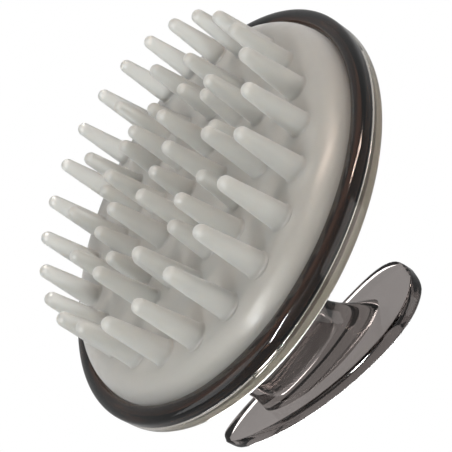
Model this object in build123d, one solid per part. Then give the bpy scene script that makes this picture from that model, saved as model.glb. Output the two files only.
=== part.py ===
from build123d import *
import os
from math import cos, radians, sin

# A scalp massager brush: bristles down, grip up, standing on its bristle tips.
# Driving dimensions in mm. Heights are measured from the bristle tips.
rim_half_length = 42.5      # the head is a short oval, longer across the grip (Y)
rim_half_width = 36.0
pad_height = 11.0           # bristle tips to the face of the pad
pad_wall = 1.6              # silicone thickness
pad_flange_thickness = 1.0
shoulder_radius = 4.2       # rounded edge of the pad
neck_clearance = 0.3        # between the pad and the ring's lip
flange_clearance = 0.4      # between the pad's flange and the wall
press_travel = 0.8          # how far the pad gives when it is pressed
press_clearance = 0.3       # left between pad and backing plate at full travel

lip_width = 2.9             # visible width of the retaining ring
lip_edge_height = 14.7
bead_height = 13.7          # front of the rounded bead
bead_inset = 1.5            # of the bead's front from the outside
bead_end_height = 15.14     # where the bead runs into the wall
lip_thickness = 0.7
parting_height = 16.2       # the ring meets the wall of the dome here
parting_chamfer = 0.25
ring_wall = 1.5
lug_count = 4
lug_width = 7.0
lug_depth = 0.7
lug_height = 0.7
lug_start_angle = 4.0
pocket_clearance = 0.1      # around each lug

wall_height = 17.5          # top of the straight wall
dome_edge_height = 18.7
dome_edge_inset = 1.0
dome_corner_height = 18.3   # middle of the rounded corner between dome and wall
dome_corner_inset = 0.35
dome_height = 29.0
dome_wall = 1.8
seat_ledge = 1.2            # ledge in the dome over the backing plate's flange
plate_wall = 0.8
plate_corner = 2.0

grip_tip_reach = 37.4       # from the axis of the head to the narrow end of the grip
grip_end_reach = 8.7        # from the axis of the head to the broad end
grip_widest_at = -5.3
grip_half_width = 8.6
grip_thickness = 3.0
grip_edge_round = 1.0
grip_tip_height = 47.3      # underside of the narrow end
grip_middle_height = 52.5
grip_end_height = 53.7
tip_bluntness = 4.0
end_bluntness = 7.0
tip_fullness = 0.5          # share of each half's length that its curve stays wide
end_fullness = 0.55

stem_centre = -15.5         # from the axis of the head
stem_sections = {           # height: (half length, half width)
    20.0: (15.4, 8.0),
    30.0: (12.5, 5.5),
    44.0: (11.2, 4.3),
    57.0: (16.4, 5.0),
}

hollow_sections = {         # the stem is open to the inside of the dome
    19.5: (12.4, 4.8),
    30.0: (10.4, 4.0),
    44.0: (9.0, 2.7),
    50.0: (8.4, 2.2),
}

bristle_root_radius = 2.0
bristle_tip_radius = 1.2
bristle_rings = {           # name: (half width, half length, count, first angle, length)
    "outer_bristles": (26.0, 33.8, 23, 14.9, 11.0),
    "middle_bristles": (18.2, 22.6, 11, 9.5, 11.0),
    "short_bristles": (14.8, 18.4, 11, 25.9, 7.7),
    "inner_bristles": (8.2, 9.8, 6, 40.0, 11.0),
    "centre_bristle": (0.0, 0.0, 1, 0.0, 7.7),
}

# The head is turned as a round one of the mean radius and then made oval.
rim_radius = (rim_half_length + rim_half_width) / 2
oval = (rim_half_width / rim_radius, rim_half_length / rim_radius, 1)
lip_radius = rim_radius - lip_width
recess_radius = rim_radius - ring_wall
lip_top = lip_edge_height + lip_thickness
pad_neck_radius = lip_radius - neck_clearance
pad_flange_radius = recess_radius - flange_clearance
plate_face_radius = pad_neck_radius - shoulder_radius
seat_bottom = lip_top + pad_flange_thickness + press_travel + press_clearance
seat_top = seat_bottom + plate_wall
head_offset = (grip_tip_reach - rim_half_width) / 2


def turned(outline):
    """A round solid about the head's axis, from a closed outline in the XZ plane."""
    return revolve(make_face(outline), Axis.Z)


def made_oval(shape):
    return scale(shape, by=oval)


def point(radius, height):
    return (radius, 0, height)


def lug_places():
    step = 360 / lug_count
    return [Rot(0, 0, lug_start_angle + step * index) for index in range(lug_count)]


def make_silicone_pad():
    shoulder_start = pad_neck_radius - shoulder_radius
    shoulder_centre = pad_height + shoulder_radius
    inner_round = shoulder_radius - pad_wall
    flange_top = lip_top + pad_flange_thickness
    diagonal = cos(radians(45))

    def shoulder(radius):
        return ThreePointArc(
            point(shoulder_start, shoulder_centre - radius),
            point(shoulder_start + radius * diagonal, shoulder_centre - radius * diagonal),
            point(shoulder_start + radius, shoulder_centre),
        )

    outer = shoulder(shoulder_radius)
    inner = shoulder(inner_round)
    edge = Polyline(
        outer @ 1,
        point(pad_neck_radius, lip_top),
        point(pad_flange_radius, lip_top),
        point(pad_flange_radius, flange_top),
        point(pad_neck_radius - pad_wall, flange_top),
        inner @ 1,
    )
    back = Polyline(inner @ 0, point(0, pad_height + pad_wall), point(0, pad_height), outer @ 0)
    return made_oval(turned(outer + edge + inner + back))


def make_bristle(length):
    """One bristle, tip down, standing on the face of the pad."""
    tip_height = pad_height - length
    tip_centre = tip_height + bristle_tip_radius
    diagonal = bristle_tip_radius * cos(radians(45))
    side = Line(point(bristle_root_radius, pad_height), point(bristle_tip_radius, tip_centre))
    tip = ThreePointArc(
        side @ 1,
        point(diagonal, tip_centre - diagonal),
        point(0, tip_height),
    )
    core = Polyline(tip @ 1, point(0, pad_height), side @ 0)
    return revolve(make_face(side + tip + core), Axis.Z)


def make_bristle_ring(half_width, half_length, count, first_angle, length):
    bristle = make_bristle(length)
    angles = [radians(first_angle + 360 / count * index) for index in range(count)]
    return Compound([
        Pos(half_width * cos(angle), half_length * sin(angle), 0) * bristle
        for angle in angles
    ])


def make_lug(clearance=0.0):
    """A snap lug of the ring, or with clearance the pocket for it in the wall."""
    depth = lug_depth + clearance
    return Pos(recess_radius, 0, parting_height) * Box(
        2 * depth,
        lug_width + 2 * clearance,
        2 * (lug_height + clearance),
    )


def lug_band(inner, outer):
    """Keeps a lug between two radii, so that its faces follow the wall."""
    height = 4 * lug_height
    ring = Cylinder(outer, height) - Cylinder(inner, height)
    return Pos(0, 0, parting_height) * ring


def make_retaining_ring():
    bead = ThreePointArc(
        point(lip_radius, lip_edge_height),
        point(rim_radius - bead_inset, bead_height),
        point(rim_radius, bead_end_height),
    )
    wall = Polyline(
        bead @ 1,
        point(rim_radius, parting_height - parting_chamfer),
        point(rim_radius - parting_chamfer, parting_height),
        point(recess_radius, parting_height),
        point(recess_radius, lip_top),
        point(lip_radius, lip_top),
        bead @ 0,
    )
    lug = make_lug() & lug_band(recess_radius, recess_radius + lug_depth)
    ring = turned(bead + wall) + [place * lug for place in lug_places()]
    return made_oval(ring)


def dome_arc(top, edge):
    """From the crown of the dome to its edge."""
    return TangentArc(point(0, top), edge, tangent=(1, 0, 0))


def outer_dome_arc():
    return dome_arc(dome_height, point(rim_radius - dome_edge_inset, dome_edge_height))


def make_handle_dome():
    outer = outer_dome_arc()
    inner = dome_arc(dome_height - dome_wall, point(recess_radius - seat_ledge, seat_top))
    rim_corner = ThreePointArc(
        outer @ 1,
        point(rim_radius - dome_corner_inset, dome_corner_height),
        point(rim_radius, wall_height),
    )
    wall = Polyline(
        rim_corner @ 1,
        point(rim_radius, parting_height + parting_chamfer),
        point(rim_radius - parting_chamfer, parting_height),
        point(recess_radius, parting_height),
        point(recess_radius, seat_top),
        inner @ 1,
    )
    top = Line(inner @ 0, outer @ 0)
    pocket_end = recess_radius + lug_depth + pocket_clearance
    pocket = make_lug(pocket_clearance) & lug_band(recess_radius - seat_ledge, pocket_end)
    dome = turned(outer + rim_corner + wall + inner + top)
    dome = made_oval(dome - [place * pocket for place in lug_places()])
    return dome - upright(hollow_sections)


def make_backing_plate():
    """A pan: its flat face stands just behind the pad, its flange sits in the dome."""
    face = pad_height + pad_wall + press_travel + press_clearance
    corner_centre = face + plate_corner
    diagonal = cos(radians(45))
    inner_round = plate_corner - plate_wall

    def corner(radius):
        return ThreePointArc(
            point(plate_face_radius, corner_centre - radius),
            point(plate_face_radius + radius * diagonal, corner_centre - radius * diagonal),
            point(plate_face_radius + radius, corner_centre),
        )

    outer = corner(plate_corner)
    inner = corner(inner_round)
    flange = Polyline(
        outer @ 1,
        point(plate_face_radius + plate_corner, seat_bottom),
        point(recess_radius, seat_bottom),
        point(recess_radius, seat_top),
        point(plate_face_radius + inner_round, seat_top),
        inner @ 1,
    )
    back = Polyline(inner @ 0, point(0, face + plate_wall), point(0, face), outer @ 0)
    return made_oval(turned(outer + flange + inner + back))


def grip_outline():
    """The leaf seen from above: narrow blunt tip at -X, broad round end at +X."""
    tip = -grip_tip_reach
    end = grip_end_reach
    pull_tip = tip_fullness * (grip_widest_at - tip)
    pull_end = end_fullness * (end - grip_widest_at)
    sides = []
    for side in (1, -1):
        half_width = side * grip_half_width
        sides.append(Bezier(
            (tip, 0),
            (tip, side * tip_bluntness),
            (grip_widest_at - pull_tip, half_width),
            (grip_widest_at, half_width),
        ))
        sides.append(Bezier(
            (grip_widest_at, half_width),
            (grip_widest_at + pull_end, half_width),
            (end, side * end_bluntness),
            (end, 0),
        ))
    return make_face(sides)


def grip_line(lift):
    """The grip's gentle arch, along its length, lifted by so much."""
    middle = (grip_end_reach - grip_tip_reach) / 2
    return ThreePointArc(
        point(-grip_tip_reach, grip_tip_height + lift),
        point(middle, grip_middle_height + lift),
        point(grip_end_reach, grip_end_height + lift),
    )


def grip_slab(bottom, top):
    """The space between two lines along the grip, wider than the leaf."""
    closed = [bottom, Line(bottom @ 1, top @ 1), top, Line(top @ 0, bottom @ 0)]
    return extrude(make_face(closed), 2 * grip_half_width, both=True)


def upright(sections):
    """A smooth upright solid through ellipses about the middle of the stem."""
    return loft([
        Pos(stem_centre, 0, height) * Ellipse(half_length, half_width)
        for height, (half_length, half_width) in sections.items()
    ])


def make_leaf_grip():
    under = grip_line(0)
    over = grip_line(grip_thickness)
    prism = extrude(grip_outline(), 2 * grip_end_height)
    leaf = prism & grip_slab(under, over)
    upright_edge = 5 * grip_thickness
    rims = [edge for edge in leaf.edges() if edge.length > upright_edge]
    leaf = fillet(rims, grip_edge_round)
    floor = Line(point(-grip_tip_reach, 0), point(grip_end_reach, 0))
    below_leaf = grip_slab(floor, grip_line(grip_thickness / 2))
    stem = upright(stem_sections) & below_leaf
    return (leaf + stem) - dome_core() - upright(hollow_sections)


def dome_core():
    """The dome filled in, to cut the foot of the stem."""
    outer = outer_dome_arc()
    closing = Polyline(
        outer @ 1,
        point(rim_radius - dome_edge_inset, wall_height),
        point(0, wall_height),
        outer @ 0,
    )
    return made_oval(turned(outer + closing))


def write(shape, name):
    export_step(Pos(head_offset, 0, 0) * shape, f"parts/{name}.step")


os.makedirs("parts", exist_ok=True)
write(make_handle_dome(), "handle_dome")
write(make_leaf_grip(), "leaf_grip")
write(make_retaining_ring(), "retaining_ring")
write(make_backing_plate(), "backing_plate")
write(make_silicone_pad(), "silicone_pad")
for ring_name, ring in bristle_rings.items():
    write(make_bristle_ring(*ring), ring_name)
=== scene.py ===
"""Looks of the scalp massager brush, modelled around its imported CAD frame."""

from math import asin, cos, degrees, pi, radians, sin, sqrt

import bpy
from mathutils import Matrix, Vector


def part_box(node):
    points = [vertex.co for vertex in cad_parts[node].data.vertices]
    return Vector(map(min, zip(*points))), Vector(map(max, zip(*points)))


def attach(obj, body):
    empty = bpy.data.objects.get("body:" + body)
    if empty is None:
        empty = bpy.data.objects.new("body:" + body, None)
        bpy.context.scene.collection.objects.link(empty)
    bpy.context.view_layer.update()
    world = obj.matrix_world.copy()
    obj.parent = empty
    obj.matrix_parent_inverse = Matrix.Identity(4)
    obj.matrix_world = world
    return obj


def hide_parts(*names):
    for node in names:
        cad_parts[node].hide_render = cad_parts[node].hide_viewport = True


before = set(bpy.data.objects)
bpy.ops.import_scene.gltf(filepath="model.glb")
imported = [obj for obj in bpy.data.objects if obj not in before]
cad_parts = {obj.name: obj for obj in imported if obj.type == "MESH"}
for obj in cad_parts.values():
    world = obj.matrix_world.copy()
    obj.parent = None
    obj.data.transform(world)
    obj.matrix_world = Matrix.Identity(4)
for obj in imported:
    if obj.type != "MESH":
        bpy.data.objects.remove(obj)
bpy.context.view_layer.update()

bl_info = {
    "name": "Scalp Massager Brush",
    "version": (1, 0, 0),
    "blender": (4, 5, 0),
    "location": "3D View > Sidebar > Massager",
    "description": "Models the soft pad, ring and smoky handle of a scalp massager",
    "category": "Add Mesh",
}

MM = 0.001
RING_LOW, RING_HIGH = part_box("retaining_ring")
PAD_LOW, PAD_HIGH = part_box("silicone_pad")
DOME_LOW, DOME_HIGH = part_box("handle_dome")
GRIP_LOW, GRIP_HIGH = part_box("leaf_grip")

HEAD_X = (RING_LOW.x + RING_HIGH.x) / 2
HALF_WIDTH = (RING_HIGH.x - RING_LOW.x) / 2
HALF_LENGTH = (RING_HIGH.y - RING_LOW.y) / 2
RIM_RADIUS = (HALF_WIDTH + HALF_LENGTH) / 2
OVAL_X = HALF_WIDTH / RIM_RADIUS
OVAL_Y = HALF_LENGTH / RIM_RADIUS

# Rounding of the ring's and the dome's edge where they part, and steps round their rim.
PARTING_ROUND = 0.25 * MM
RIM_STEPS = 200

# Snap lugs: angle of the first of the four in degrees, edge bevel, and bite into the wall.
LUG_ANGLE = 4
LUG_BEVEL = 0.2 * MM
LUG_BITE = 0.25 * MM


def length(name, description, default):
    return bpy.props.FloatProperty(
        name=name, description=description, default=default, unit="LENGTH", precision=5
    )


def colour(name, description, default):
    return bpy.props.FloatVectorProperty(
        name=name, description=description, default=default, subtype="COLOR", min=0, max=1
    )


class PadSizes(bpy.types.PropertyGroup):
    """Sizes of the silicone pad and its bristles."""

    face_height: length("Face height", "Bristle tips to the face of the pad", PAD_LOW.z)
    wall: length("Wall", "Silicone thickness", 1.6 * MM)
    shoulder: length("Shoulder", "Rounded edge of the pad", 4.2 * MM)
    neck_radius: length("Neck radius", "Pad where it passes through the ring", 36.05 * MM)
    flange_radius: length("Flange radius", "Hidden flange of the pad", 37.35 * MM)
    flange_thickness: length("Flange thickness", "Thickness of that flange", 1.0 * MM)
    root_radius: length("Root radius", "Bristle radius at the pad", 2.0 * MM)
    tip_radius: length("Tip radius", "Radius of the round bristle tip", 1.2 * MM)
    flare: length("Flare", "Small fillet between bristle and pad", 0.35 * MM)


class RingSizes(bpy.types.PropertyGroup):
    """Sizes of the retaining ring."""

    lip_width: length("Lip width", "Width of the visible lip", 2.9 * MM)
    lip_thickness: length("Lip thickness", "Thickness of the lip", 0.7 * MM)
    bead_depth: length("Bead depth", "How far the bead stands in front of the lip", 1.0 * MM)
    wall: length("Wall", "Wall thickness of ring and dome", 1.5 * MM)
    lug_width: length("Lug width", "Width of a snap lug", 7.0 * MM)
    lug_depth: length("Lug depth", "How deep a lug enters the wall", 0.7 * MM)
    lug_height: length("Lug height", "Half the height of a lug", 0.7 * MM)


class HandleSizes(bpy.types.PropertyGroup):
    """Sizes of the one-piece handle: dome, stem and leaf-shaped grip."""

    wall_height: length("Wall height", "Top of the straight wall", 17.5 * MM)
    edge_height: length("Edge height", "Where the dome begins", 18.7 * MM)
    side_wall: length("Side wall", "Thickness of the straight wall", 1.4 * MM)
    dome_wall: length("Dome wall", "Thickness at the crown", 1.8 * MM)
    seat_gap: length("Seat gap", "Between dome and backing plate", 0.08 * MM)
    seat_ledge: length("Seat ledge", "Ledge over the backing plate", 1.2 * MM)
    grip_thickness: length("Grip thickness", "Thickness of the leaf", 3.0 * MM)
    grip_round: length("Grip round", "Rounding of the leaf's edge", 1.1 * MM)
    stem_centre: length("Stem centre", "From the head's axis to the middle of the stem", -15.5 * MM)


class Finishes(bpy.types.PropertyGroup):
    """Colours of the brush and its stage."""

    smoke: colour("Smoke", "Handle plastic looked through", (0.36, 0.31, 0.29))
    smoke_skin: colour("Smoke skin", "Tint of the handle's surface", (0.34, 0.315, 0.305))
    # Painted light: the thin wall's skin is painted paler, standing in for the pale pad flange seen
    # through the wall, not a tint of its own.
    wall_painted_light: colour("Wall skin", "Tint of the thin wall's surface", (0.60, 0.58, 0.53))
    bronze: colour("Bronze", "Ring plastic looked through", (0.40, 0.25, 0.15))
    bronze_skin: colour("Bronze skin", "Tint of the ring's surface", (0.21, 0.145, 0.11))
    milk: colour("Milk", "Silicone of the bristles", (0.60, 0.605, 0.58))
    # Painted shade: the pad face is painted darker than the bristles, though it is the same
    # silicone.
    pad_milk_painted_shade: colour("Pad milk", "Silicone of the pad, darkened with painted shade", (0.445, 0.44, 0.415))
    backing: colour("Backing", "Backing plate", (0.88, 0.86, 0.80))
    floor: colour("Floor", "Studio floor", (0.86, 0.86, 0.86))


# Modelling steps shared by the pieces.


def clear_selection():
    if bpy.context.mode != "OBJECT":
        bpy.ops.object.mode_set(mode="OBJECT")
    bpy.ops.object.select_all(action="DESELECT")


def arc(centre, radius, first, last, steps=8):
    """Points (radius, height) on a circular arc, angles in degrees."""
    turns = [radians(first + (last - first) * i / steps) for i in range(steps + 1)]
    return [(centre[0] + radius * cos(t), centre[1] + radius * sin(t)) for t in turns]


def crown_arc(top, edge, steps=18):
    """Points from the crown of a dome, level there, to its edge."""
    drop = top - edge[1]
    radius = (edge[0] ** 2 + drop**2) / (2 * drop)
    reach = degrees(asin(edge[0] / radius))
    return arc((0, top - radius), radius, 90, 90 - reach, steps)


def draw_line(name, points):
    """A new object in edit mode with a chain of edges through (radius, height) points."""
    clear_selection()
    bpy.ops.mesh.primitive_plane_add(size=MM)
    piece = bpy.context.object
    piece.name = piece.data.name = name
    bpy.ops.object.mode_set(mode="EDIT")
    bpy.ops.mesh.select_mode(type="VERT")
    bpy.ops.mesh.select_all(action="SELECT")
    bpy.ops.mesh.merge(type="CENTER")
    bpy.ops.transform.translate(value=(points[0][0], 0, points[0][1]))
    for here, there in zip(points, points[1:]):
        step = (there[0] - here[0], 0, there[1] - here[1])
        bpy.ops.mesh.extrude_region_move(TRANSFORM_OT_translate={"value": step})
    return piece


def turn_round(name, points, steps):
    """Spins a closed outline about the head's axis into an oval solid."""
    piece = draw_line(name, points)
    bpy.ops.mesh.select_all(action="SELECT")
    bpy.ops.mesh.spin(steps=steps, angle=2 * pi, center=(0, 0, 0), axis=(0, 0, 1))
    bpy.ops.mesh.select_all(action="SELECT")
    bpy.ops.mesh.remove_doubles(threshold=0.01 * MM)
    bpy.ops.mesh.dissolve_degenerate(threshold=0.005 * MM)
    bpy.ops.mesh.select_all(action="SELECT")
    bpy.ops.mesh.normals_make_consistent(inside=False)
    bpy.ops.object.mode_set(mode="OBJECT")
    return piece


def make_oval(piece):
    """Stretches a round piece to the head's oval and sets it on the head's axis."""
    clear_selection()
    bpy.context.view_layer.objects.active = piece
    piece.select_set(True)
    bpy.ops.object.mode_set(mode="EDIT")
    bpy.ops.mesh.select_all(action="SELECT")
    bpy.ops.transform.resize(value=(OVAL_X, OVAL_Y, 1), center_override=(0, 0, 0))
    bpy.ops.transform.translate(value=(HEAD_X, 0, 0))
    bpy.ops.object.mode_set(mode="OBJECT")


def stack_rings(sections):
    """Extrudes the selected ring of vertices from section to section.

    Each section is (centre, sizes): the sizes are scale factors of the first ring.
    """
    centre, sizes = sections[0]
    for next_centre, next_sizes in sections[1:]:
        step = tuple(next_centre[i] - centre[i] for i in range(3))
        ratio = tuple(next_sizes[i] / sizes[i] for i in range(3))
        bpy.ops.mesh.extrude_region_move(TRANSFORM_OT_translate={"value": step})
        bpy.ops.transform.resize(value=ratio, center_override=next_centre)
        centre, sizes = next_centre, next_sizes


def combine(piece, other, operation):
    """Joins or cuts piece with other by a Boolean, and removes other."""
    clear_selection()
    piece.select_set(True)
    bpy.context.view_layer.objects.active = piece
    step = piece.modifiers.new("Combine", "BOOLEAN")
    step.operation = operation
    step.solver = "EXACT"
    step.object = other
    bpy.ops.object.modifier_apply(modifier=step.name)
    bpy.data.objects.remove(other)


def join(pieces):
    """Joins pieces into the first one."""
    clear_selection()
    for piece in pieces:
        piece.select_set(True)
    bpy.context.view_layer.objects.active = pieces[0]
    bpy.ops.object.join()
    return pieces[0]


def copy_to(piece, matrix):
    """A copy of a finished piece with its own mesh, carried to a new place."""
    twin = piece.copy()
    twin.data = piece.data.copy()
    twin.data.transform(matrix)
    bpy.context.scene.collection.objects.link(twin)
    return twin


def smooth(piece, angle):
    clear_selection()
    piece.select_set(True)
    bpy.context.view_layer.objects.active = piece
    bpy.ops.object.shade_smooth_by_angle(angle=radians(angle))
    for modifier in list(piece.modifiers):
        bpy.ops.object.modifier_apply(modifier=modifier.name)
    step = piece.modifiers.new("Even shading", "WEIGHTED_NORMAL")
    step.keep_sharp = True
    bpy.ops.object.modifier_apply(modifier=step.name)


def dress(piece, material, body, nodes):
    piece.data.materials.clear()
    piece.data.materials.append(material)
    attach(piece, body)
    if nodes:
        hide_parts(*nodes)


# Materials.


def smoky_plastic(name, skin, low_skin_and_painted_light, low_top, seen_through, density, gloss):
    """Clear tinted moulded plastic, darker the deeper it is looked through.

    Its skin is tinted, with a second colour below low_top; on the handle that colour is painted
    light, paler to stand in for the pale pad flange seen through the thin wall. gloss is the lowest
    and highest roughness.
    """
    material = bpy.data.materials.new(name)
    material.use_nodes = True
    nodes = material.node_tree.nodes
    links = material.node_tree.links
    nodes.clear()

    output = nodes.new("ShaderNodeOutputMaterial")
    output.label = "Plastic"
    output.location = (900, 0)
    body = nodes.new("ShaderNodeBsdfPrincipled")
    body.label = "Clear body"
    body.location = (600, 100)
    depth = nodes.new("ShaderNodeVolumeAbsorption")
    depth.label = "Tint with depth"
    depth.location = (600, -700)
    place = nodes.new("ShaderNodeTexCoord")
    place.label = "Place on the piece"
    place.location = (-700, 0)

    flow_frame = nodes.new("NodeFrame")
    flow_frame.label = "Flow of the moulded plastic"
    flow = nodes.new("ShaderNodeTexNoise")
    flow.label = "Slow flow marks"
    flow.location = (-400, 300)
    flow.parent = flow_frame
    flow_tint = nodes.new("ShaderNodeMapRange")
    flow_tint.label = "Flow to surface tint"
    flow_tint.location = (-150, 300)
    flow_tint.parent = flow_frame
    tint = nodes.new("ShaderNodeMix")
    tint.label = "Surface tint"
    tint.location = (150, 300)
    tint.parent = flow_frame

    # Painted light: below low_top the skin takes a second colour; on the handle it is painted
    # paler, standing in for the pale pad flange seen through the thin wall.
    wall_frame = nodes.new("NodeFrame")
    wall_frame.label = "Paler thin wall near the parting line"
    heights = nodes.new("ShaderNodeSeparateXYZ")
    heights.label = "Height on the piece"
    heights.location = (-400, 650)
    heights.parent = wall_frame
    above = nodes.new("ShaderNodeMapRange")
    above.label = "From wall to dome"
    above.location = (-150, 650)
    above.parent = wall_frame
    skin_and_painted_light_mix = nodes.new("ShaderNodeMix")
    skin_and_painted_light_mix.label = "Wall or dome skin"
    skin_and_painted_light_mix.location = (350, 500)
    skin_and_painted_light_mix.parent = wall_frame

    gloss_frame = nodes.new("NodeFrame")
    gloss_frame.label = "Gloss with faint handling marks"
    marks = nodes.new("ShaderNodeTexNoise")
    marks.label = "Handling marks"
    marks.location = (-400, -50)
    marks.parent = gloss_frame
    shine = nodes.new("ShaderNodeMapRange")
    shine.label = "Marks to roughness"
    shine.location = (-150, -50)
    shine.parent = gloss_frame

    wave_frame = nodes.new("NodeFrame")
    wave_frame.label = "Slight waviness from cooling"
    wave = nodes.new("ShaderNodeTexNoise")
    wave.label = "Cooling waves"
    wave.location = (-400, -400)
    wave.parent = wave_frame
    lift = nodes.new("ShaderNodeBump")
    lift.label = "Waves to surface"
    lift.location = (-150, -400)
    lift.parent = wave_frame

    body.inputs["Transmission Weight"].default_value = 1.0
    body.inputs["IOR"].default_value = 1.49
    body.inputs["Specular IOR Level"].default_value = 0.5
    depth.inputs["Color"].default_value = (*seen_through, 1)
    depth.inputs["Density"].default_value = density
    flow.inputs["Scale"].default_value = 60
    flow.inputs["Detail"].default_value = 2
    flow_tint.inputs["From Min"].default_value = 0.3
    flow_tint.inputs["From Max"].default_value = 0.7
    tint.data_type = "RGBA"
    tint.inputs["A"].default_value = (*skin, 1)
    tint.inputs["B"].default_value = (*(0.88 * c for c in skin), 1)
    marks.inputs["Scale"].default_value = 220
    marks.inputs["Detail"].default_value = 4
    above.inputs["From Min"].default_value = low_top - 0.5 * MM
    above.inputs["From Max"].default_value = low_top + 0.5 * MM
    skin_and_painted_light_mix.data_type = "RGBA"
    skin_and_painted_light_mix.inputs["A"].default_value = (*low_skin_and_painted_light, 1)
    shine.inputs["From Min"].default_value = 0.35
    shine.inputs["From Max"].default_value = 0.75
    shine.inputs["To Min"].default_value = gloss[0]
    shine.inputs["To Max"].default_value = gloss[1]
    wave.inputs["Scale"].default_value = 45
    wave.inputs["Detail"].default_value = 1
    lift.inputs["Strength"].default_value = 0.06
    lift.inputs["Distance"].default_value = 0.4 * MM

    links.new(place.outputs["Object"], flow.inputs["Vector"])
    links.new(place.outputs["Object"], marks.inputs["Vector"])
    links.new(place.outputs["Object"], wave.inputs["Vector"])
    links.new(flow.outputs["Fac"], flow_tint.inputs["Value"])
    links.new(flow_tint.outputs["Result"], tint.inputs["Factor"])
    links.new(place.outputs["Object"], heights.inputs["Vector"])
    links.new(heights.outputs["Z"], above.inputs["Value"])
    links.new(above.outputs["Result"], skin_and_painted_light_mix.inputs["Factor"])
    links.new(tint.outputs["Result"], skin_and_painted_light_mix.inputs["B"])
    links.new(skin_and_painted_light_mix.outputs["Result"], body.inputs["Base Color"])
    links.new(marks.outputs["Fac"], shine.inputs["Value"])
    links.new(shine.outputs["Result"], body.inputs["Roughness"])
    links.new(wave.outputs["Fac"], lift.inputs["Height"])
    links.new(lift.outputs["Normal"], body.inputs["Normal"])
    links.new(body.outputs["BSDF"], output.inputs["Surface"])
    links.new(depth.outputs["Volume"], output.inputs["Volume"])
    return material


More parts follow.
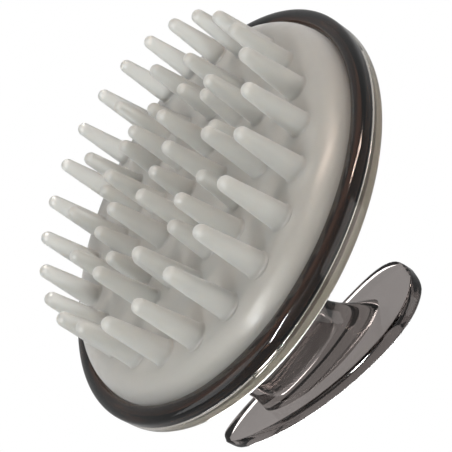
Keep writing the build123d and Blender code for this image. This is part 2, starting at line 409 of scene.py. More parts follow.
def milky_silicone(milk, pad_milk_painted_shade, face_height):
    """Soft translucent silicone with a satin skin; its pad face is painted darker than the
    bristles, a painted shade.
    """
    material = bpy.data.materials.new("milky_silicone")
    material.use_nodes = True
    nodes = material.node_tree.nodes
    links = material.node_tree.links
    nodes.clear()

    output = nodes.new("ShaderNodeOutputMaterial")
    output.label = "Silicone"
    output.location = (900, 0)
    body = nodes.new("ShaderNodeBsdfPrincipled")
    body.label = "Milky body"
    body.location = (600, 100)
    place = nodes.new("ShaderNodeTexCoord")
    place.label = "Place on the piece"
    place.location = (-800, 0)

    cloud_frame = nodes.new("NodeFrame")
    cloud_frame.label = "Cloudiness"
    cloud = nodes.new("ShaderNodeTexNoise")
    cloud.label = "Soft clouds in the silicone"
    cloud.location = (-500, 300)
    cloud.parent = cloud_frame
    cloud_range = nodes.new("ShaderNodeMapRange")
    cloud_range.label = "How much the clouds show"
    cloud_range.location = (-250, 300)
    cloud_range.parent = cloud_frame
    cloud_mix = nodes.new("ShaderNodeMix")
    cloud_mix.label = "Clear to cloudy milk"
    cloud_mix.location = (50, 300)
    cloud_mix.parent = cloud_frame

    # Painted shade: by height, the pad face is painted darker than the bristles of the same
    # silicone.
    pad_shade_frame = nodes.new("NodeFrame")
    pad_shade_frame.label = "Painted shade on the pad, none on the bristles"
    heights = nodes.new("ShaderNodeSeparateXYZ")
    heights.label = "Height on the piece"
    heights.location = (-500, 700)
    heights.parent = pad_shade_frame
    pad_shade_mask = nodes.new("ShaderNodeMapRange")
    pad_shade_mask.label = "From bristle to pad"
    pad_shade_mask.location = (-250, 700)
    pad_shade_mask.parent = pad_shade_frame
    pad_shade_mix = nodes.new("ShaderNodeMix")
    pad_shade_mix.label = "Bristle or pad colour"
    pad_shade_mix.location = (300, 500)
    pad_shade_mix.parent = pad_shade_frame

    skin_frame = nodes.new("NodeFrame")
    skin_frame.label = "Satin skin with dust marks"
    dust = nodes.new("ShaderNodeTexNoise")
    dust.label = "Dust and touch marks"
    dust.location = (-500, -50)
    dust.parent = skin_frame
    satin = nodes.new("ShaderNodeMapRange")
    satin.label = "Marks to roughness"
    satin.location = (-250, -50)
    satin.parent = skin_frame

    grain_frame = nodes.new("NodeFrame")
    grain_frame.label = "Fine grain of the mould"
    grain = nodes.new("ShaderNodeTexNoise")
    grain.label = "Mould grain"
    grain.location = (-500, -400)
    grain.parent = grain_frame
    lift = nodes.new("ShaderNodeBump")
    lift.label = "Grain to surface"
    lift.location = (-250, -400)
    lift.parent = grain_frame

    body.inputs["IOR"].default_value = 1.41
    body.inputs["Transmission Weight"].default_value = 0.74
    body.inputs["Subsurface Weight"].default_value = 0.8
    body.inputs["Subsurface Radius"].default_value = (1.0, 0.9, 0.8)
    body.inputs["Subsurface Scale"].default_value = 3.0 * MM
    body.inputs["Sheen Weight"].default_value = 0.35
    body.inputs["Sheen Roughness"].default_value = 0.35
    cloud.inputs["Scale"].default_value = 90
    cloud.inputs["Detail"].default_value = 3
    cloud_range.inputs["From Min"].default_value = 0.3
    cloud_range.inputs["From Max"].default_value = 0.7
    cloud_mix.data_type = "RGBA"
    cloud_mix.inputs["A"].default_value = (*(0.92 * c for c in milk), 1)
    cloud_mix.inputs["B"].default_value = (*milk, 1)
    pad_shade_mask.inputs["From Min"].default_value = face_height - 0.9 * MM
    pad_shade_mask.inputs["From Max"].default_value = face_height - 0.05 * MM
    pad_shade_mix.data_type = "RGBA"
    pad_shade_mix.inputs["B"].default_value = (*pad_milk_painted_shade, 1)
    dust.inputs["Scale"].default_value = 350
    dust.inputs["Detail"].default_value = 5
    satin.inputs["From Min"].default_value = 0.35
    satin.inputs["From Max"].default_value = 0.7
    satin.inputs["To Min"].default_value = 0.28
    satin.inputs["To Max"].default_value = 0.42
    grain.inputs["Scale"].default_value = 1500
    grain.inputs["Detail"].default_value = 2
    lift.inputs["Strength"].default_value = 0.15
    lift.inputs["Distance"].default_value = 0.1 * MM

    links.new(place.outputs["Object"], cloud.inputs["Vector"])
    links.new(place.outputs["Object"], dust.inputs["Vector"])
    links.new(place.outputs["Object"], grain.inputs["Vector"])
    links.new(cloud.outputs["Fac"], cloud_range.inputs["Value"])
    links.new(cloud_range.outputs["Result"], cloud_mix.inputs["Factor"])
    links.new(place.outputs["Object"], heights.inputs["Vector"])
    links.new(heights.outputs["Z"], pad_shade_mask.inputs["Value"])
    links.new(pad_shade_mask.outputs["Result"], pad_shade_mix.inputs["Factor"])
    links.new(cloud_mix.outputs["Result"], pad_shade_mix.inputs["A"])
    links.new(pad_shade_mix.outputs["Result"], body.inputs["Base Color"])
    links.new(dust.outputs["Fac"], satin.inputs["Value"])
    links.new(satin.outputs["Result"], body.inputs["Roughness"])
    links.new(grain.outputs["Fac"], lift.inputs["Height"])
    links.new(lift.outputs["Normal"], body.inputs["Normal"])
    links.new(body.outputs["BSDF"], output.inputs["Surface"])
    return material


def satin_backing(tone):
    """Plain moulded plate seen through the smoky dome."""
    material = bpy.data.materials.new("satin_backing")
    material.use_nodes = True
    nodes = material.node_tree.nodes
    links = material.node_tree.links
    nodes.clear()

    output = nodes.new("ShaderNodeOutputMaterial")
    output.label = "Backing plate"
    output.location = (700, 0)
    body = nodes.new("ShaderNodeBsdfPrincipled")
    body.label = "Opaque plastic"
    body.location = (400, 0)
    place = nodes.new("ShaderNodeTexCoord")
    place.label = "Place on the piece"
    place.location = (-800, 0)

    tone_frame = nodes.new("NodeFrame")
    tone_frame.label = "Uneven tone"
    blotch = nodes.new("ShaderNodeTexNoise")
    blotch.label = "Slow blotches"
    blotch.location = (-500, 200)
    blotch.parent = tone_frame
    tone_mix = nodes.new("ShaderNodeMix")
    tone_mix.label = "Plain to blotched"
    tone_mix.location = (-200, 200)
    tone_mix.parent = tone_frame

    spark_frame = nodes.new("NodeFrame")
    spark_frame.label = "Spark-eroded grain"
    spark = nodes.new("ShaderNodeTexNoise")
    spark.label = "Spark grain"
    spark.location = (-500, -200)
    spark.parent = spark_frame
    lift = nodes.new("ShaderNodeBump")
    lift.label = "Grain to surface"
    lift.location = (-200, -200)
    lift.parent = spark_frame

    body.inputs["Roughness"].default_value = 0.5
    blotch.inputs["Scale"].default_value = 70
    tone_mix.data_type = "RGBA"
    tone_mix.inputs["A"].default_value = (*tone, 1)
    tone_mix.inputs["B"].default_value = (*(0.9 * c for c in tone), 1)
    spark.inputs["Scale"].default_value = 1800
    lift.inputs["Strength"].default_value = 0.2
    lift.inputs["Distance"].default_value = 0.1 * MM

    links.new(place.outputs["Object"], blotch.inputs["Vector"])
    links.new(place.outputs["Object"], spark.inputs["Vector"])
    links.new(blotch.outputs["Fac"], tone_mix.inputs["Factor"])
    links.new(tone_mix.outputs["Result"], body.inputs["Base Color"])
    links.new(spark.outputs["Fac"], lift.inputs["Height"])
    links.new(lift.outputs["Normal"], body.inputs["Normal"])
    links.new(body.outputs["BSDF"], output.inputs["Surface"])
    return material


def studio_floor(tone):
    """Pale floor that doesn't show from underneath."""
    material = bpy.data.materials.new("studio_floor")
    material.use_nodes = True
    nodes = material.node_tree.nodes
    links = material.node_tree.links
    nodes.clear()

    output = nodes.new("ShaderNodeOutputMaterial")
    output.label = "Floor"
    output.location = (600, 0)
    paint = nodes.new("ShaderNodeBsdfPrincipled")
    paint.label = "Matt paint"
    paint.location = (0, 100)
    see_through = nodes.new("ShaderNodeBsdfTransparent")
    see_through.label = "Nothing from below"
    see_through.location = (0, -400)
    side = nodes.new("ShaderNodeNewGeometry")
    side.label = "Which side is seen"
    side.location = (0, 400)
    choose = nodes.new("ShaderNodeMixShader")
    choose.label = "Top or underside"
    choose.location = (350, 0)

    paint.inputs["Base Color"].default_value = (*tone, 1)
    paint.inputs["Roughness"].default_value = 0.9

    links.new(side.outputs["Backfacing"], choose.inputs["Fac"])
    links.new(paint.outputs["BSDF"], choose.inputs[1])
    links.new(see_through.outputs["BSDF"], choose.inputs[2])
    links.new(choose.outputs["Shader"], output.inputs["Surface"])
    return material


# Operators, one for each piece.


class MASSAGER_OT_pad(bpy.types.Operator):
    """Silicone pad with all its bristles as one soft moulding"""

    bl_idname = "massager.pad"
    bl_label = "Pad and Bristles"

    # Node, half width and half length of the ring in mm, count, first angle in degrees.
    rings = (
        ("outer_bristles", 26.0, 33.8, 23, 14.9),
        ("middle_bristles", 18.2, 22.6, 11, 9.5),
        ("short_bristles", 14.8, 18.4, 11, 25.9),
        ("inner_bristles", 8.2, 9.8, 6, 40.0),
        ("centre_bristle", 0.0, 0.0, 1, 0.0),
    )
    # How far a bristle's root is sunk into the pad in mm, and how much its flare is drawn out.
    root_sunk = 0.5
    flare_stretch = 1.4

    def pad_shell(self, sizes):
        face = sizes.face_height
        corner = (sizes.neck_radius - sizes.shoulder, face + sizes.shoulder)
        flange_top = PAD_HIGH.z
        flange_low = flange_top - sizes.flange_thickness
        half_way = corner[0] * 0.5
        points = [(0, face), (half_way, face)]
        points += arc(corner, sizes.shoulder, -90, 0, 12)
        points += [
            (sizes.neck_radius, flange_low),
            (sizes.flange_radius, flange_low),
            (sizes.flange_radius, flange_top),
            (sizes.neck_radius - sizes.wall, flange_top),
        ]
        points += arc(corner, sizes.shoulder - sizes.wall, 0, -90, 8)
        points += [(half_way, face + sizes.wall), (0, face + sizes.wall)]
        shell = turn_round("soft_pad", points, steps=160)
        make_oval(shell)
        return shell

    def bristle(self, sizes, tip_height):
        """One bristle about the origin's axis: flared root, taper and round tip."""
        face = sizes.face_height
        tip_centre = tip_height + sizes.tip_radius
        clear_selection()
        bpy.ops.mesh.primitive_circle_add(
            vertices=22, radius=1, fill_type="NGON", location=(0, 0, 0)
        )
        piece = bpy.context.object
        piece.name = "bristle"
        sections = [(face + self.root_sunk * MM, sizes.root_radius + sizes.flare)]
        for i in range(6):
            turn = radians(90 * i / 5)
            out = sizes.flare * (1 - sin(turn))
            down = sizes.flare * (1 - cos(turn)) * self.flare_stretch
            sections.append((face - down, sizes.root_radius + out))
        start = sections[-1][0]
        for i in range(1, 4):
            share = i / 4
            radius = sizes.root_radius + (sizes.tip_radius - sizes.root_radius) * share
            sections.append((start + (tip_centre - start) * share, radius))
        for i in range(6):
            turn = radians(90 * i / 6)
            sections.append(
                (tip_centre - sizes.tip_radius * sin(turn), sizes.tip_radius * cos(turn))
            )
        bpy.ops.object.mode_set(mode="EDIT")
        bpy.ops.mesh.select_all(action="SELECT")
        first_height, first_radius = sections[0]
        bpy.ops.transform.resize(value=(first_radius, first_radius, 1), center_override=(0, 0, 0))
        bpy.ops.transform.translate(value=(0, 0, first_height))
        stack_rings([((0, 0, h), (r, r, 1)) for h, r in sections])
        bpy.ops.mesh.poke()
        bpy.ops.mesh.select_mode(type="VERT")
        bpy.ops.mesh.select_all(action="DESELECT")
        bpy.ops.object.mode_set(mode="OBJECT")
        last = min(piece.data.vertices, key=lambda v: (v.co.z, v.co.xy.length))
        last.co.z = tip_height
        bpy.ops.object.mode_set(mode="EDIT")
        bpy.ops.mesh.select_all(action="SELECT")
        bpy.ops.mesh.normals_make_consistent(inside=False)
        bpy.ops.object.mode_set(mode="OBJECT")
        return piece

    def execute(self, context):
        sizes = context.scene.massager_pad
        looks = context.scene.massager_finishes
        shell = self.pad_shell(sizes)
        forms = {}
        bristles = []
        for node, half_width, half_length, count, first in self.rings:
            tip_height = round(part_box(node)[0].z, 5)
            if tip_height not in forms:
                forms[tip_height] = self.bristle(sizes, tip_height)
            for i in range(count):
                angle = radians(first + 360 / count * i)
                place = (
                    HEAD_X + half_width * MM * cos(angle),
                    half_length * MM * sin(angle),
                    0,
                )
                bristles.append(copy_to(forms[tip_height], Matrix.Translation(place)))
        for form in forms.values():
            bpy.data.objects.remove(form)
        combine(shell, join(bristles), "UNION")
        smooth(shell, 50)
        material = milky_silicone(looks.milk, looks.pad_milk_painted_shade, sizes.face_height)
        replaced = ["silicone_pad"] + [ring[0] for ring in self.rings]
        dress(shell, material, "pad", replaced)
        return {"FINISHED"}


def lug_blocks(name, sizes, centre_height, spare):
    """Four rounded snap lugs, or with spare room the pockets for them."""
    clear_selection()
    inner = RIM_RADIUS - sizes.wall
    bpy.ops.mesh.primitive_cube_add(size=1, location=(0, 0, 0))
    block = bpy.context.object
    block.name = name
    bpy.ops.object.mode_set(mode="EDIT")
    bpy.ops.mesh.select_all(action="SELECT")
    reach = sizes.lug_depth + spare + LUG_BITE
    bpy.ops.transform.resize(
        value=(reach, sizes.lug_width + 2 * spare, 2 * (sizes.lug_height + spare)),
        center_override=(0, 0, 0),
    )
    bpy.ops.mesh.bevel(offset=LUG_BEVEL, segments=2)
    bpy.ops.mesh.select_all(action="SELECT")
    bpy.ops.transform.translate(value=(inner - LUG_BITE + reach / 2, 0, centre_height))
    bpy.ops.object.mode_set(mode="OBJECT")
    lugs = [
        copy_to(block, Matrix.Rotation(radians(LUG_ANGLE + 90 * i), 4, "Z")) for i in range(4)
    ]
    bpy.data.objects.remove(block)
    return join(lugs)


class MASSAGER_OT_ring(bpy.types.Operator):
    """Dark retaining ring with a rounded bead and four snap lugs"""

    bl_idname = "massager.ring"
    bl_label = "Retaining Ring"

    # The bead's section: step inside the lip and rise towards the rim in mm, and its fullness.
    lip_step = 0.15
    bead_rise = 0.44
    bead_fullness = 0.8
    bead_steps = 14

    def execute(self, context):
        sizes = context.scene.massager_ring
        looks = context.scene.massager_finishes
        front = RING_LOW.z
        lip_edge = front + sizes.bead_depth
        lip_top = lip_edge + sizes.lip_thickness
        parting = DOME_LOW.z
        lip_radius = RIM_RADIUS - sizes.lip_width
        inner = RIM_RADIUS - sizes.wall
        soft = PARTING_ROUND
        points = [(lip_radius, lip_top), (lip_radius, lip_edge + self.lip_step * MM)]
        for i in range(self.bead_steps + 1):
            share = i / self.bead_steps
            turn = pi * share
            height = lip_edge - sizes.bead_depth * sin(turn) ** self.bead_fullness
            height += share * (self.bead_rise * MM)
            points.append((lip_radius + sizes.lip_width * (1 - cos(turn)) / 2, height))
        points += arc((RIM_RADIUS - soft, parting - soft), soft, 0, 90, 3)
        points += [(inner, parting), (inner, lip_top), (lip_radius, lip_top)]
        ring = turn_round("retaining_bead", points, RIM_STEPS)
        lugs = lug_blocks("lugs", sizes, parting, 0)
        combine(ring, lugs, "UNION")
        make_oval(ring)
        smooth(ring, 40)
        material = smoky_plastic(
            "bronze_smoke_plastic",
            skin=looks.bronze_skin,
            low_skin_and_painted_light=looks.bronze_skin,
            low_top=lip_top,
            seen_through=looks.bronze,
            density=800,
            gloss=(0.07, 0.13),
        )
        dress(ring, material, "handle", ["retaining_ring"])
        return {"FINISHED"}


class MASSAGER_OT_handle(bpy.types.Operator):
    """Smoky one-piece handle: dome, hollow waisted stem and leaf-shaped grip"""

    bl_idname = "massager.handle"
    bl_label = "Handle"

    # Edge between wall and dome: where the crown ends, then (in from the rim, down), in mm.
    crown_inset = 1.0
    edge_round = ((0.6, 0.22), (0.25, 0.52), (0.06, 0.88))
    # Room around a lug in its pocket in mm.
    pocket_spare = 0.1
    # Height of the leaf's underside at its narrow end, middle and broad end, in mm.
    undersides = (47.3, 52.5, 53.7)
    # The leaf's widest place from the head's axis and how full its ends are, in mm,
    # and the share of each side that is drawn out straight before it turns in.
    widest_place = -5.3
    tip_fullness = 4.0
    end_fullness = 7.0
    tip_pull = 0.5
    end_pull = 0.55
    # Sections along the leaf: their number, share of its length, least half width in mm,
    # and how much of its edge rounding the two ends take.
    leaf_steps = 44
    leaf_share = 0.9999
    least_half_width = 0.15
    end_softness = 0.9
    # How far the core that trims the stem's foot reaches below the dome's ledge in mm.
    core_depth = 4

    def inner_arc(self, sizes, lift=0.0):
        """The inside of the dome, from its crown to the ledge over the backing plate."""
        radius = RIM_RADIUS - sizes.side_wall - sizes.seat_ledge
        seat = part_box("backing_plate")[1].z + sizes.seat_gap + lift
        top = DOME_HIGH.z - sizes.dome_wall + lift
        return crown_arc(top, (radius, seat))

    def dome(self, sizes, ring_sizes):
        crown = DOME_HIGH.z
        parting = DOME_LOW.z
        soft = PARTING_ROUND
        inner_radius = RIM_RADIUS - sizes.side_wall
        outer = crown_arc(crown, (RIM_RADIUS - self.crown_inset * MM, sizes.edge_height))
        inner = self.inner_arc(sizes)
        points = outer + [
            (RIM_RADIUS - inset * MM, sizes.edge_height - drop * MM)
            for inset, drop in self.edge_round
        ]
        points.append((RIM_RADIUS, sizes.wall_height))
        points += arc((RIM_RADIUS - soft, parting + soft), soft, 0, -90, 3)
        points += [(inner_radius, parting), (inner_radius, inner[-1][1])]
        points += inner[::-1]
        shell = turn_round("smoky_handle", points, RIM_STEPS)
        pockets = lug_blocks("pockets", ring_sizes, parting, self.pocket_spare * MM)
        combine(shell, pockets, "DIFFERENCE")
        make_oval(shell)
        return shell

    def grip_arch(self):
        """Height of the grip's underside at a place along it, as a circle."""
        at_tip, at_middle, at_end = self.undersides
        tip = Vector((GRIP_LOW.x, 0, at_tip * MM))
        end = Vector((GRIP_HIGH.x, 0, at_end * MM))
        middle = Vector(((GRIP_LOW.x + GRIP_HIGH.x) / 2, 0, at_middle * MM))
        rows = [(p.x, p.z, p.x**2 + p.z**2) for p in (tip, middle, end)]
        (x1, z1, s1), (x2, z2, s2), (x3, z3, s3) = rows
        twice = 2 * (x1 * (z2 - z3) + x2 * (z3 - z1) + x3 * (z1 - z2))
        cx = (s1 * (z2 - z3) + s2 * (z3 - z1) + s3 * (z1 - z2)) / twice
        cz = (s1 * (x3 - x2) + s2 * (x1 - x3) + s3 * (x2 - x1)) / twice
        radius = sqrt((x1 - cx) ** 2 + (z1 - cz) ** 2)
        return lambda x: cz + sqrt(radius**2 - (x - cx) ** 2)

    def half_width_at(self, x):
        """Half the leaf's width at x, from its two curves."""
        tip, end = GRIP_LOW.x, GRIP_HIGH.x
        widest = HEAD_X + self.widest_place * MM
        half = (GRIP_HIGH.y - GRIP_LOW.y) / 2
        if x < widest:
            pull = self.tip_pull * (widest - tip)
            xs = (tip, tip, widest - pull, widest)
            ys = (0, self.tip_fullness * MM, half, half)
        else:
            pull = self.end_pull * (end - widest)
            xs = (widest, widest + pull, end, end)
            ys = (half, half, self.end_fullness * MM, 0)
        low, high = 0.0, 1.0
        for _ in range(40):
            t = (low + high) / 2
            s = 1 - t
            here = s**3 * xs[0] + 3 * s * s * t * xs[1] + 3 * s * t * t * xs[2] + t**3 * xs[3]
            if here < x:
                low = t
            else:
                high = t
        return s**3 * ys[0] + 3 * s * s * t * ys[1] + 3 * s * t * t * ys[2] + t**3 * ys[3]

    def leaf(self, sizes):
        """The leaf, extruded section by section from its narrow end."""
        arch = self.grip_arch()
        tip, end = GRIP_LOW.x, GRIP_HIGH.x
        middle, reach = (tip + end) / 2, (end - tip) / 2
        thickness = sizes.grip_thickness
        rounding = sizes.grip_round
        sections = []
        for i in range(self.leaf_steps + 1):
            x = middle - reach * cos(pi * i / self.leaf_steps) * self.leaf_share
            from_end = min(x - tip, end - x)
            width = max(self.half_width_at(x), self.least_half_width * MM)
            squeeze = max(0.0, 1 - from_end / rounding)
            loss = rounding * (1 - sqrt(1 - squeeze**2)) * self.end_softness
            height = thickness - 2 * loss
            centre = (x, 0, arch(x) + thickness / 2)
            sections.append((centre, (1, 2 * width, height)))
        clear_selection()
        bpy.ops.mesh.primitive_plane_add(size=1, rotation=(0, pi / 2, 0))
        piece = bpy.context.object
        piece.name = "leaf"
        bpy.ops.object.transform_apply(location=False, rotation=True, scale=False)
        bpy.ops.object.mode_set(mode="EDIT")
        bpy.ops.mesh.select_mode(type="VERT")
        bpy.ops.mesh.select_all(action="SELECT")
        wide = GRIP_HIGH.y - GRIP_LOW.y
        bpy.ops.transform.resize(value=(1, wide, thickness), center_override=(0, 0, 0))
        bpy.ops.mesh.bevel(offset=rounding, segments=6, affect="VERTICES")
        bpy.ops.mesh.select_all(action="SELECT")
        first_centre, first_sizes = sections[0]
        bpy.ops.transform.resize(
            value=(1, first_sizes[1] / wide, first_sizes[2] / thickness),
            center_override=(0, 0, 0),
        )
        bpy.ops.transform.translate(value=first_centre)
        bpy.ops.mesh.select_mode(type="FACE")
        bpy.ops.mesh.select_all(action="SELECT")
        stack_rings(sections)
        bpy.ops.mesh.select_all(action="SELECT")
        bpy.ops.mesh.normals_make_consistent(inside=False)
        bpy.ops.object.mode_set(mode="OBJECT")
        return piece

    def upright(self, name, centre_x, outline):
        """An upright oval solid through sections of (height, half length, half width, shift)."""
        clear_selection()
        bpy.ops.mesh.primitive_circle_add(vertices=96, radius=1, fill_type="NGON")
        piece = bpy.context.object
        piece.name = name
        bpy.ops.object.mode_set(mode="EDIT")
        bpy.ops.mesh.select_all(action="SELECT")
        sections = [
            ((centre_x + shift * MM, 0, h * MM), (a * MM, b * MM, 1))
            for h, a, b, shift in outline
        ]
        first_centre, first_sizes = sections[0]
        bpy.ops.transform.resize(value=first_sizes, center_override=(0, 0, 0))
        bpy.ops.transform.translate(value=first_centre)
        stack_rings(sections)
        bpy.ops.mesh.select_all(action="SELECT")
        bpy.ops.mesh.normals_make_consistent(inside=False)
        bpy.ops.object.mode_set(mode="OBJECT")
        return piece

    def hollow(self, sizes):
        """The core that leaves the stem open to the inside of the dome."""
        outline = (
            (19.5, 12.4, 4.8, 0.0),
            (24.0, 11.5, 4.5, 0.0),
            (29.0, 10.6, 4.1, 0.0),
            (34.0, 9.9, 3.6, 0.0),
            (39.0, 9.3, 3.1, 0.0),
            (44.0, 9.0, 2.7, 0.0),
            (48.0, 8.8, 2.5, 0.0),
            (49.3, 8.5, 2.3, 0.0),
            (50.0, 7.9, 1.8, 0.0),
        )
        return self.upright("stem_hollow", HEAD_X + sizes.stem_centre, outline)

    def below_leaf(self, sizes):
        """Everything under the middle of the leaf's thickness, to trim the stem's top."""
        arch = self.grip_arch()
        steps = 24
        reach = GRIP_HIGH.x - GRIP_LOW.x
        over = [GRIP_LOW.x + reach * i / steps for i in range(steps + 1)]
        points = [(GRIP_LOW.x, 0), (GRIP_HIGH.x, 0)]
        points += [(x, arch(x) + sizes.grip_thickness / 2) for x in reversed(over)]
        piece = draw_line("below_leaf", points)
        bpy.ops.mesh.select_all(action="SELECT")
        bpy.ops.mesh.edge_face_add()
        bpy.ops.mesh.select_all(action="SELECT")
        bpy.ops.transform.translate(value=(0, -HALF_WIDTH, 0))
        bpy.ops.mesh.extrude_region_move(
            TRANSFORM_OT_translate={"value": (0, 2 * HALF_WIDTH, 0)}
        )
        bpy.ops.mesh.select_all(action="SELECT")
        bpy.ops.mesh.normals_make_consistent(inside=False)
        bpy.ops.object.mode_set(mode="OBJECT")
        return piece

    def inside_of_dome(self, sizes):
        """The space up to the middle of the dome's wall, to trim the stem's foot."""
        inner = self.inner_arc(sizes, sizes.dome_wall / 2)
        edge = inner[-1]
        bottom = edge[1] - self.core_depth * MM
        core = turn_round("inside", inner + [(edge[0], bottom), (0, bottom)], steps=96)
        make_oval(core)
        return core

    def stem(self, sizes):
        """The waisted stem, from the dome's wall up into the leaf."""
        outline = (
            (20.0, 16.0, 8.6, 0.0),
            (22.0, 15.1, 7.8, 0.0),
            (24.0, 14.3, 7.0, 0.0),
            (26.0, 13.7, 6.4, 0.0),
            (28.6, 13.1, 5.8, 0.0),
            (31.5, 12.5, 5.3, 0.0),
            (35.0, 11.9, 4.9, 0.0),
            (38.5, 11.5, 4.6, 0.0),
            (42.0, 11.3, 4.35, 0.0),
            (44.5, 11.3, 4.25, 0.0),
            (46.5, 11.6, 4.2, 0.1),
            (48.2, 12.1, 4.25, 0.2),
            (49.8, 12.8, 4.4, 0.4),
            (51.2, 13.7, 4.65, 0.6),
            (52.6, 14.7, 5.0, 0.8),
            (55.0, 16.0, 5.5, 1.0),
        )
        stem = self.upright("stem", HEAD_X + sizes.stem_centre, outline)
        combine(stem, self.below_leaf(sizes), "INTERSECT")
        combine(stem, self.inside_of_dome(sizes), "DIFFERENCE")
        return stem

    def execute(self, context):
        sizes = context.scene.massager_handle
        looks = context.scene.massager_finishes
        handle = self.dome(sizes, context.scene.massager_ring)
        combine(handle, self.stem(sizes), "UNION")
        combine(handle, self.leaf(sizes), "UNION")
        combine(handle, self.hollow(sizes), "DIFFERENCE")
        smooth(handle, 35)
        material = smoky_plastic(
            "smoky_plastic",
            skin=looks.smoke_skin,
            # Painted light: below the dome's edge the skin is painted paler, for the pad flange
            # seen through the thin wall.
            low_skin_and_painted_light=looks.wall_painted_light,
            low_top=sizes.edge_height,
            seen_through=looks.smoke,
            density=110,
            gloss=(0.02, 0.08),
        )
        dress(handle, material, "handle", ["handle_dome", "leaf_grip"])
        return {"FINISHED"}


class MASSAGER_OT_backing(bpy.types.Operator):
    """Finish of the backing plate that closes the dome"""

    bl_idname = "massager.backing"
    bl_label = "Backing Plate Finish"

    def execute(self, context):
        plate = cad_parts["backing_plate"]
        plate.data.materials.clear()
        plate.data.materials.append(satin_backing(context.scene.massager_finishes.backing))
        return {"FINISHED"}


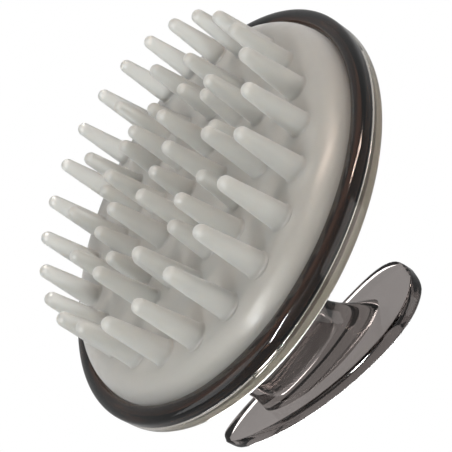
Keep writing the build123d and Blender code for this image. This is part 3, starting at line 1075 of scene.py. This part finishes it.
class MASSAGER_OT_stage(bpy.types.Operator):
    """Pale floor, soft studio light and camera"""

    bl_idname = "massager.stage"
    bl_label = "Stage"

    # Pinhole camera below the bristles: its place from the head's axis, its directions
    # and its focal length in mm on a sensor 36 mm wide.
    camera_place = (0.04808, 0.16665, -0.06507)
    camera_right = (0.59672, 0.21797, 0.77228)
    camera_down = (-0.76025, 0.46156, 0.45715)
    camera_ahead = (-0.25681, -0.85991, 0.44113)
    camera_lens = 92.49

    def add_camera(self):
        bpy.ops.object.camera_add()
        camera = bpy.context.object
        camera.name = "camera"
        camera.data.lens = self.camera_lens
        camera.data.sensor_width = 36
        camera.data.clip_start = 0.005
        right = Vector(self.camera_right)
        up = -Vector(self.camera_down)
        back = -Vector(self.camera_ahead)
        turn = Matrix((right, up, back)).transposed().to_4x4()
        place = Vector(self.camera_place) + Vector((HEAD_X, 0, 0))
        camera.matrix_world = Matrix.Translation(place) @ turn
        bpy.context.scene.camera = camera

    def add_light(self, name, place, size, power, tint):
        bpy.ops.object.light_add(type="AREA", location=place)
        light = bpy.context.object
        light.name = name
        light.data.shape = "RECTANGLE"
        light.data.size, light.data.size_y = size
        light.data.energy = power
        light.data.color = tint
        aim = Vector((0, 0, 0.025)) - Vector(place)
        light.rotation_euler = aim.to_track_quat("-Z", "Y").to_euler()

    def add_world(self):
        world = bpy.data.worlds.new("studio_surround")
        bpy.context.scene.world = world
        world.use_nodes = True
        nodes = world.node_tree.nodes
        links = world.node_tree.links
        nodes.clear()
        output = nodes.new("ShaderNodeOutputWorld")
        output.label = "Surround"
        output.location = (600, 0)
        seen = nodes.new("ShaderNodeBackground")
        seen.label = "White paper behind"
        seen.location = (0, 100)
        fill = nodes.new("ShaderNodeBackground")
        fill.label = "Dim fill light"
        fill.location = (0, -100)
        path = nodes.new("ShaderNodeLightPath")
        path.label = "Looked at directly"
        path.location = (0, 500)
        dimmer = nodes.new("ShaderNodeMath")
        dimmer.label = "Dimmer in reflections"
        dimmer.location = (-250, -100)
        either = nodes.new("ShaderNodeMath")
        either.label = "Directly or through clear plastic"
        either.location = (150, 400)
        choose = nodes.new("ShaderNodeMixShader")
        choose.label = "Behind or fill"
        choose.location = (300, 0)
        either.operation = "MAXIMUM"
        seen.inputs["Color"].default_value = (1, 1, 1, 1)
        seen.inputs["Strength"].default_value = 1.0
        fill.inputs["Color"].default_value = (1, 1, 1, 1)
        dimmer.operation = "MULTIPLY_ADD"
        dimmer.inputs[1].default_value = -0.9
        dimmer.inputs[2].default_value = 1.3
        links.new(path.outputs["Is Glossy Ray"], dimmer.inputs[0])
        links.new(dimmer.outputs["Value"], fill.inputs["Strength"])
        links.new(path.outputs["Is Camera Ray"], either.inputs[0])
        links.new(path.outputs["Is Transmission Ray"], either.inputs[1])
        links.new(either.outputs["Value"], choose.inputs["Fac"])
        links.new(fill.outputs["Background"], choose.inputs[1])
        links.new(seen.outputs["Background"], choose.inputs[2])
        links.new(choose.outputs["Shader"], output.inputs["Surface"])

    def execute(self, context):
        clear_selection()
        bpy.ops.mesh.primitive_plane_add(size=3, location=(0, 0, 0))
        floor = bpy.context.object
        floor.name = "studio_floor"
        floor.data.materials.append(studio_floor(context.scene.massager_finishes.floor))
        floor.visible_diffuse = False
        floor.visible_glossy = False
        floor.visible_transmission = False
        floor.visible_shadow = False
        self.add_light("side_soft", (0.30, 0.30, 0.22), (0.30, 0.30), 0.3, (1, 0.98, 0.96))
        self.add_light("front_soft", (0.05, 0.45, -0.30), (0.40, 0.40), 0.2, (1, 1, 1))
        self.add_light("top_soft", (-0.25, -0.10, 0.50), (0.35, 0.35), 3.2, (1, 1, 1))
        self.add_light("low_soft", (-0.30, 0.10, -0.30), (0.35, 0.35), 0.45, (1, 1, 1))
        self.add_light("bead_strip", (0.42, -0.03, -0.32), (0.07, 0.30), 1.9, (1, 0.78, 0.66))
        self.add_light("crease_strip", (-0.12, 0.40, -0.40), (0.03, 0.50), 3.8, (1, 1, 1))
        self.add_world()
        self.add_camera()
        view = context.scene.view_settings
        view.view_transform = "Standard"
        view.look = "None"
        return {"FINISHED"}


class MASSAGER_PT_panel(bpy.types.Panel):
    """Lists the pieces of the brush"""

    bl_idname = "MASSAGER_PT_panel"
    bl_label = "Scalp Massager"
    bl_space_type = "VIEW_3D"
    bl_region_type = "UI"
    bl_category = "Massager"

    def draw(self, context):
        for operator in OPERATORS:
            self.layout.operator(operator.bl_idname)
        for group in GROUPS:
            box = self.layout.box()
            box.label(text=group)
            settings = getattr(context.scene, group)
            for name in settings.__annotations__:
                box.prop(settings, name)


OPERATORS = (
    MASSAGER_OT_pad,
    MASSAGER_OT_ring,
    MASSAGER_OT_handle,
    MASSAGER_OT_backing,
    MASSAGER_OT_stage,
)
GROUPS = {
    "massager_pad": PadSizes,
    "massager_ring": RingSizes,
    "massager_handle": HandleSizes,
    "massager_finishes": Finishes,
}


def register():
    for group, kind in GROUPS.items():
        bpy.utils.register_class(kind)
        setattr(bpy.types.Scene, group, bpy.props.PointerProperty(type=kind))
    for kind in (*OPERATORS, MASSAGER_PT_panel):
        bpy.utils.register_class(kind)


def unregister():
    for kind in (MASSAGER_PT_panel, *reversed(OPERATORS)):
        bpy.utils.unregister_class(kind)
    for group, kind in GROUPS.items():
        delattr(bpy.types.Scene, group)
        bpy.utils.unregister_class(kind)


def main():
    register()
    bpy.ops.massager.pad()
    bpy.ops.massager.ring()
    bpy.ops.massager.handle()
    bpy.ops.massager.backing()
    bpy.ops.massager.stage()
    clear_selection()


if __name__ == "__main__":
    main()
